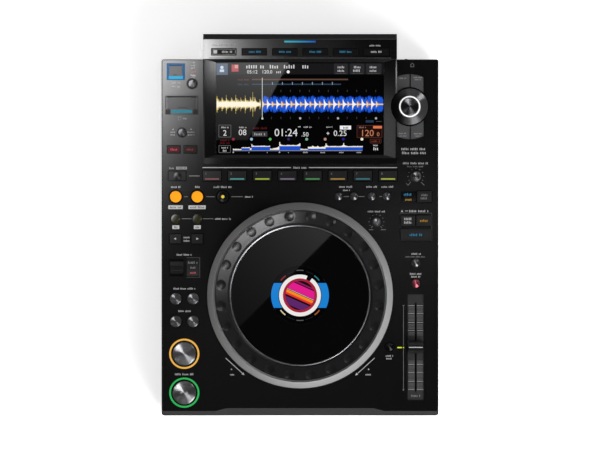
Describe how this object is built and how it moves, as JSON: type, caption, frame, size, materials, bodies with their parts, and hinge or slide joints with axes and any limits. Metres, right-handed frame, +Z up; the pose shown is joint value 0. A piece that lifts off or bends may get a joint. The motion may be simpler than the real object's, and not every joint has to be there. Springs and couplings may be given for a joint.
{
  "type": "dj media player",
  "caption": "Tabletop DJ player with a large jog wheel, a raised tilted display head, hot cue keys, a tempo fader and a rotary selector.",
  "frame": {"origin": "centre of the bounding box's bottom face, on the table under the feet", "axes": "+X to the user's right, +Y towards the rear with the display head, +Z up"},
  "size_m": [0.329, 0.453, 0.118],
  "materials": {
    "case": "moulded, fine texture",
    "head": "satin moulded",
    "chassis": "powder coat",
    "glass": "polished",
    "metal": "plated",
    "light": "clear moulded",
    "board": "solder resist",
    "foot": "moulded",
    "rim": "knurled, metallic paint",
    "gloss": "polished",
    "lever": "moulded",
    "fader": "moulded",
    "shaft": "turned",
    "knob": "spun",
    "amber": "tinted, lit",
    "key": "moulded",
    "grey_key": "metallic paint",
    "red_key": "tinted, lit"
  },
  "bodies": {
    "case": {"top_cover": "case", "bottom_chassis": "chassis", "display_housing": "head", "display_glass": "glass", "lcd_panel": "metal", "light_guides": "light", "jog_base": "case", "jog_display": "case", "circuit_boards": "board", "sockets": "metal", "feet": "foot", "screws": "metal", "fader_track": "case"},
    "jog_wheel": {"jog_rim": "rim", "jog_flange": "gloss", "jog_plate": "gloss", "jog_window": "glass"},
    "direction_lever": {"direction_lever": "lever"},
    "tempo_slider": {"tempo_slider": "fader"},
    "selector_plunger": {"selector_plunger": "shaft"},
    "selector_knob": {"selector_knob": "knob"},
    "vinyl_speed_knob": {"vinyl_speed_knob": "lever"},
    "jog_adjust_knob": {"jog_adjust_knob": "lever"},
    "usb_lid": {"usb_lid": "lever"},
    "card_lid": {"card_lid": "lever"},
    "power_switch": {"power_switch": "lever"},
    "play_button": {"play_button": "knob"},
    "cue_button": {"cue_button": "knob"},
    "hot_cue_key_1": {"hot_cue_key_1": "key"},
    "hot_cue_key_2": {"hot_cue_key_2": "key"},
    "hot_cue_key_3": {"hot_cue_key_3": "key"},
    "hot_cue_key_4": {"hot_cue_key_4": "key"},
    "hot_cue_key_5": {"hot_cue_key_5": "key"},
    "hot_cue_key_6": {"hot_cue_key_6": "key"},
    "hot_cue_key_7": {"hot_cue_key_7": "key"},
    "hot_cue_key_8": {"hot_cue_key_8": "key"},
    "loop_in_button": {"loop_in_button": "amber"},
    "loop_out_button": {"loop_out_button": "amber"},
    "reloop_button": {"reloop_button": "key"},
    "usb_stop_button": {"usb_stop_button": "key"},
    "time_mode_button": {"time_mode_button": "grey_key"},
    "slip_key": {"slip_key": "red_key"},
    "quantize_key": {"quantize_key": "red_key"},
    "hot_cue_call_button": {"hot_cue_call_button": "grey_key"},
    "back_key": {"back_key": "grey_key"},
    "tag_key": {"tag_key": "grey_key"},
    "filter_key": {"filter_key": "grey_key"},
    "shortcut_key": {"shortcut_key": "grey_key"},
    "jog_mode_key": {"jog_mode_key": "key"},
    "beat_sync_key": {"beat_sync_key": "key"},
    "master_key": {"master_key": "key"},
    "key_sync_key": {"key_sync_key": "key"},
    "tempo_range_button": {"tempo_range_button": "grey_key"},
    "master_tempo_button": {"master_tempo_button": "red_key"},
    "tempo_reset_button": {"tempo_reset_button": "grey_key"},
    "browse_keys": {"browse_keys": "key"},
    "memory_buttons": {"memory_buttons": "grey_key"},
    "beat_loop_buttons": {"beat_loop_buttons": "key"},
    "beat_jump_keys": {"beat_jump_keys": "key"},
    "search_buttons": {"search_buttons": "knob"}
  },
  "joints": [
    {"name": "jog_spin", "type": "hinge", "parent": "case", "child": "jog_wheel", "pos_m": [0, -0.0836, 0.095], "axis": [0, 0, 1], "continuous": true},
    {"name": "direction_tilt", "type": "hinge", "parent": "case", "child": "direction_lever", "pos_m": [-0.14635, -0.0506, 0.07], "axis": [1, 0, 0], "range_deg": [-17, 17]},
    {"name": "tempo_slide", "type": "slide", "parent": "case", "child": "tempo_slider", "axis": [0, 1, 0], "range_m": [-0.05, 0.05]},
    {"name": "selector_push", "type": "slide", "parent": "case", "child": "selector_plunger", "axis": [0, 0, -1], "range_m": [0, 0.0008], "stiffness_N_per_m": 600, "springref_m": -0.003},
    {"name": "selector_turn", "type": "hinge", "parent": "selector_plunger", "child": "selector_knob", "pos_m": [0.1303, 0.1406, 0.09], "axis": [0, 0, 1], "continuous": true},
    {"name": "vinyl_speed_turn", "type": "hinge", "parent": "case", "child": "vinyl_speed_knob", "pos_m": [0.1375, 0.0577, 0.09], "axis": [0, 0, 1], "range_deg": [-140, 140]},
    {"name": "jog_adjust_turn", "type": "hinge", "parent": "case", "child": "jog_adjust_knob", "pos_m": [0.0908, 0.0038, 0.09], "axis": [0, 0, 1], "range_deg": [-140, 140]},
    {"name": "usb_lid_open", "type": "hinge", "parent": "case", "child": "usb_lid", "pos_m": [-0.1475, 0.1888, 0.0826], "axis": [-1, 0, 0], "range_deg": [0, 100]},
    {"name": "card_lid_open", "type": "hinge", "parent": "case", "child": "card_lid", "pos_m": [-0.1405, 0.15125, 0.0826], "axis": [-1, 0, 0], "range_deg": [0, 100]},
    {"name": "power_rock", "type": "hinge", "parent": "case", "child": "power_switch", "pos_m": [0.1335, 0.1912, 0.054], "axis": [0, 0, 1], "range_deg": [0, 12]},
    {"name": "play_press", "type": "slide", "parent": "case", "child": "play_button", "axis": [0, 0, -1], "range_m": [0, 0.0015], "stiffness_N_per_m": 300, "springref_m": -0.002},
    {"name": "cue_press", "type": "slide", "parent": "case", "child": "cue_button", "axis": [0, 0, -1], "range_m": [0, 0.0015], "stiffness_N_per_m": 300, "springref_m": -0.002},
    {"name": "hot_cue_key_1_press", "type": "slide", "parent": "case", "child": "hot_cue_key_1", "axis": [0, 0, -1], "range_m": [0, 0.0008], "stiffness_N_per_m": 200, "springref_m": -0.001},
    {"name": "hot_cue_key_2_press", "type": "slide", "parent": "case", "child": "hot_cue_key_2", "axis": [0, 0, -1], "range_m": [0, 0.0008], "stiffness_N_per_m": 200, "springref_m": -0.001},
    {"name": "hot_cue_key_3_press", "type": "slide", "parent": "case", "child": "hot_cue_key_3", "axis": [0, 0, -1], "range_m": [0, 0.0008], "stiffness_N_per_m": 200, "springref_m": -0.001},
    {"name": "hot_cue_key_4_press", "type": "slide", "parent": "case", "child": "hot_cue_key_4", "axis": [0, 0, -1], "range_m": [0, 0.0008], "stiffness_N_per_m": 200, "springref_m": -0.001},
    {"name": "hot_cue_key_5_press", "type": "slide", "parent": "case", "child": "hot_cue_key_5", "axis": [0, 0, -1], "range_m": [0, 0.0008], "stiffness_N_per_m": 200, "springref_m": -0.001},
    {"name": "hot_cue_key_6_press", "type": "slide", "parent": "case", "child": "hot_cue_key_6", "axis": [0, 0, -1], "range_m": [0, 0.0008], "stiffness_N_per_m": 200, "springref_m": -0.001},
    {"name": "hot_cue_key_7_press", "type": "slide", "parent": "case", "child": "hot_cue_key_7", "axis": [0, 0, -1], "range_m": [0, 0.0008], "stiffness_N_per_m": 200, "springref_m": -0.001},
    {"name": "hot_cue_key_8_press", "type": "slide", "parent": "case", "child": "hot_cue_key_8", "axis": [0, 0, -1], "range_m": [0, 0.0008], "stiffness_N_per_m": 200, "springref_m": -0.001},
    {"name": "loop_in_press", "type": "slide", "parent": "case", "child": "loop_in_button", "axis": [0, 0, -1], "range_m": [0, 0.001], "stiffness_N_per_m": 200, "springref_m": -0.001},
    {"name": "loop_out_press", "type": "slide", "parent": "case", "child": "loop_out_button", "axis": [0, 0, -1], "range_m": [0, 0.001], "stiffness_N_per_m": 200, "springref_m": -0.001},
    {"name": "reloop_press", "type": "slide", "parent": "case", "child": "reloop_button", "axis": [0, 0, -1], "range_m": [0, 0.001], "stiffness_N_per_m": 200, "springref_m": -0.001},
    {"name": "usb_stop_press", "type": "slide", "parent": "case", "child": "usb_stop_button", "axis": [0, 0, -1], "range_m": [0, 0.001], "stiffness_N_per_m": 200, "springref_m": -0.001},
    {"name": "time_mode_press", "type": "slide", "parent": "case", "child": "time_mode_button", "axis": [0, 0, -1], "range_m": [0, 0.001], "stiffness_N_per_m": 200, "springref_m": -0.001},
    {"name": "hot_cue_call_press", "type": "slide", "parent": "case", "child": "hot_cue_call_button", "axis": [0, 0, -1], "range_m": [0, 0.001], "stiffness_N_per_m": 200, "springref_m": -0.001},
    {"name": "tempo_range_press", "type": "slide", "parent": "case", "child": "tempo_range_button", "axis": [0, 0, -1], "range_m": [0, 0.001], "stiffness_N_per_m": 200, "springref_m": -0.001},
    {"name": "master_tempo_press", "type": "slide", "parent": "case", "child": "master_tempo_button", "axis": [0, 0, -1], "range_m": [0, 0.001], "stiffness_N_per_m": 200, "springref_m": -0.001},
    {"name": "tempo_reset_press", "type": "slide", "parent": "case", "child": "tempo_reset_button", "axis": [0, 0, -1], "range_m": [0, 0.001], "stiffness_N_per_m": 200, "springref_m": -0.001},
    {"name": "slip_press", "type": "slide", "parent": "case", "child": "slip_key", "axis": [0, 0, -1], "range_m": [0, 0.0008], "stiffness_N_per_m": 200, "springref_m": -0.001},
    {"name": "quantize_press", "type": "slide", "parent": "case", "child": "quantize_key", "axis": [0, 0, -1], "range_m": [0, 0.0008], "stiffness_N_per_m": 200, "springref_m": -0.001},
    {"name": "back_press", "type": "slide", "parent": "case", "child": "back_key", "axis": [0, 0, -1], "range_m": [0, 0.0008], "stiffness_N_per_m": 200, "springref_m": -0.001},
    {"name": "tag_press", "type": "slide", "parent": "case", "child": "tag_key", "axis": [0, 0, -1], "range_m": [0, 0.0008], "stiffness_N_per_m": 200, "springref_m": -0.001},
    {"name": "filter_press", "type": "slide", "parent": "case", "child": "filter_key", "axis": [0, 0, -1], "range_m": [0, 0.0008], "stiffness_N_per_m": 200, "springref_m": -0.001},
    {"name": "shortcut_press", "type": "slide", "parent": "case", "child": "shortcut_key", "axis": [0, 0, -1], "range_m": [0, 0.0008], "stiffness_N_per_m": 200, "springref_m": -0.001},
    {"name": "jog_mode_press", "type": "slide", "parent": "case", "child": "jog_mode_key", "axis": [0, 0, -1], "range_m": [0, 0.0008], "stiffness_N_per_m": 200, "springref_m": -0.001},
    {"name": "beat_sync_press", "type": "slide", "parent": "case", "child": "beat_sync_key", "axis": [0, 0, -1], "range_m": [0, 0.0008], "stiffness_N_per_m": 200, "springref_m": -0.001},
    {"name": "master_press", "type": "slide", "parent": "case", "child": "master_key", "axis": [0, 0, -1], "range_m": [0, 0.0008], "stiffness_N_per_m": 200, "springref_m": -0.001},
    {"name": "key_sync_press", "type": "slide", "parent": "case", "child": "key_sync_key", "axis": [0, 0, -1], "range_m": [0, 0.0008], "stiffness_N_per_m": 300, "springref_m": -0.0012},
    {"name": "browse_press", "type": "slide", "parent": "case", "child": "browse_keys", "axis": [0, 0.1173, -0.9931], "range_m": [0, 0.0008], "stiffness_N_per_m": 400, "springref_m": -0.0015},
    {"name": "memory_press", "type": "slide", "parent": "case", "child": "memory_buttons", "axis": [0, 0, -1], "range_m": [0, 0.001], "stiffness_N_per_m": 300, "springref_m": -0.0012},
    {"name": "beat_loop_press", "type": "slide", "parent": "case", "child": "beat_loop_buttons", "axis": [0, 0, -1], "range_m": [0, 0.001], "stiffness_N_per_m": 300, "springref_m": -0.0012},
    {"name": "beat_jump_press", "type": "slide", "parent": "case", "child": "beat_jump_keys", "axis": [0, 0, -1], "range_m": [0, 0.0008], "stiffness_N_per_m": 300, "springref_m": -0.0012},
    {"name": "search_press", "type": "slide", "parent": "case", "child": "search_buttons", "axis": [0, 0, -1], "range_m": [0, 0.001], "stiffness_N_per_m": 400, "springref_m": -0.0015}
  ]
}
